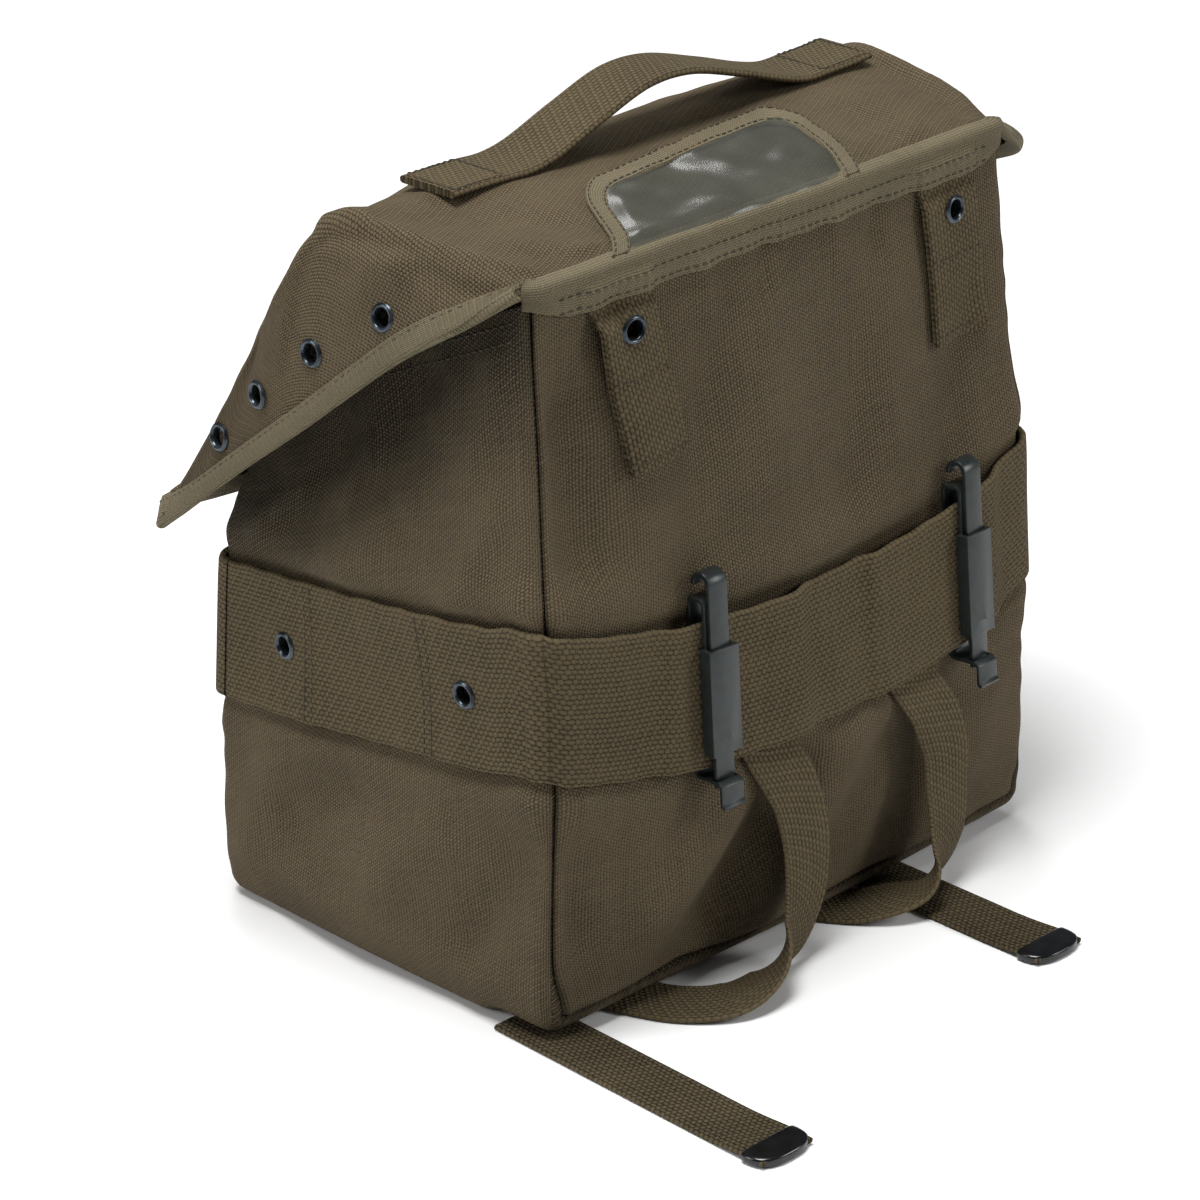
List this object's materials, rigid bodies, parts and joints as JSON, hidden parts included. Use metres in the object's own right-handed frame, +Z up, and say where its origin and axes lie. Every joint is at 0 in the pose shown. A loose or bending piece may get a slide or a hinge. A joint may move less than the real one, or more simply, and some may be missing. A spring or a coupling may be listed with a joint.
{
  "type": "belt bag",
  "caption": "Olive canvas belt bag with a folded lid, clear window, carry handle, webbing band and two metal slide keepers.",
  "frame": {"origin": "centre of the bag's flat foot, on the surface it stands on", "axes": "+Z up, +X to the wearer's right seen from behind the belt side, -Y out of the panel with the keepers"},
  "size_m": [0.2521, 0.2384, 0.2484],
  "materials": {
    "canvas": "plain-woven cotton canvas, matte",
    "edge_tape": "herringbone binding tape, matte",
    "webbing": "coarse cotton webbing, matte",
    "clear_vinyl": "clear flexible vinyl, glossy and wrinkled",
    "eyelet_metal": "blackened brass, worn satin",
    "keeper_metal": "dark green-grey enamel on steel, satin",
    "tip_metal": "gloss black enamel"
  },
  "bodies": {
    "bag": {"gusset": "canvas", "back_panel": "canvas", "front_panel": "canvas", "lid": "canvas", "lid_tape": "edge_tape", "seam_tape": "edge_tape", "window_tape": "edge_tape", "window": "clear_vinyl", "handle": "webbing", "band": "webbing", "tab_near": "webbing", "tab_far": "webbing", "loop_near": "webbing", "loop_far": "webbing", "strap_near": "webbing", "strap_far": "webbing", "strap_tip_near": "tip_metal", "strap_tip_far": "tip_metal", "tab_near_eyelet_1": "eyelet_metal", "tab_far_eyelet_1": "eyelet_metal", "lid_eyelet_left_1": "eyelet_metal", "lid_eyelet_left_2": "eyelet_metal", "lid_eyelet_left_3": "eyelet_metal", "lid_eyelet_left_4": "eyelet_metal", "lid_eyelet_right_1": "eyelet_metal", "lid_eyelet_right_2": "eyelet_metal", "lid_eyelet_right_3": "eyelet_metal", "lid_eyelet_right_4": "eyelet_metal", "band_eyelet_left_1": "eyelet_metal", "band_eyelet_left_2": "eyelet_metal", "band_eyelet_right_1": "eyelet_metal", "band_eyelet_right_2": "eyelet_metal", "keeper_near_frame": "keeper_metal", "keeper_far_frame": "keeper_metal"},
    "near_bar": {"keeper_near_bar": "keeper_metal"},
    "far_bar": {"keeper_far_bar": "keeper_metal"}
  },
  "joints": [
    {"name": "near_keeper_slide", "type": "slide", "parent": "bag", "child": "near_bar", "axis": [0.0021, 0.047, 0.9989], "range_m": [0, 0.009]},
    {"name": "far_keeper_slide", "type": "slide", "parent": "bag", "child": "far_bar", "axis": [-0.0029, 0.0704, 0.9975], "range_m": [0, 0.009]}
  ]
}
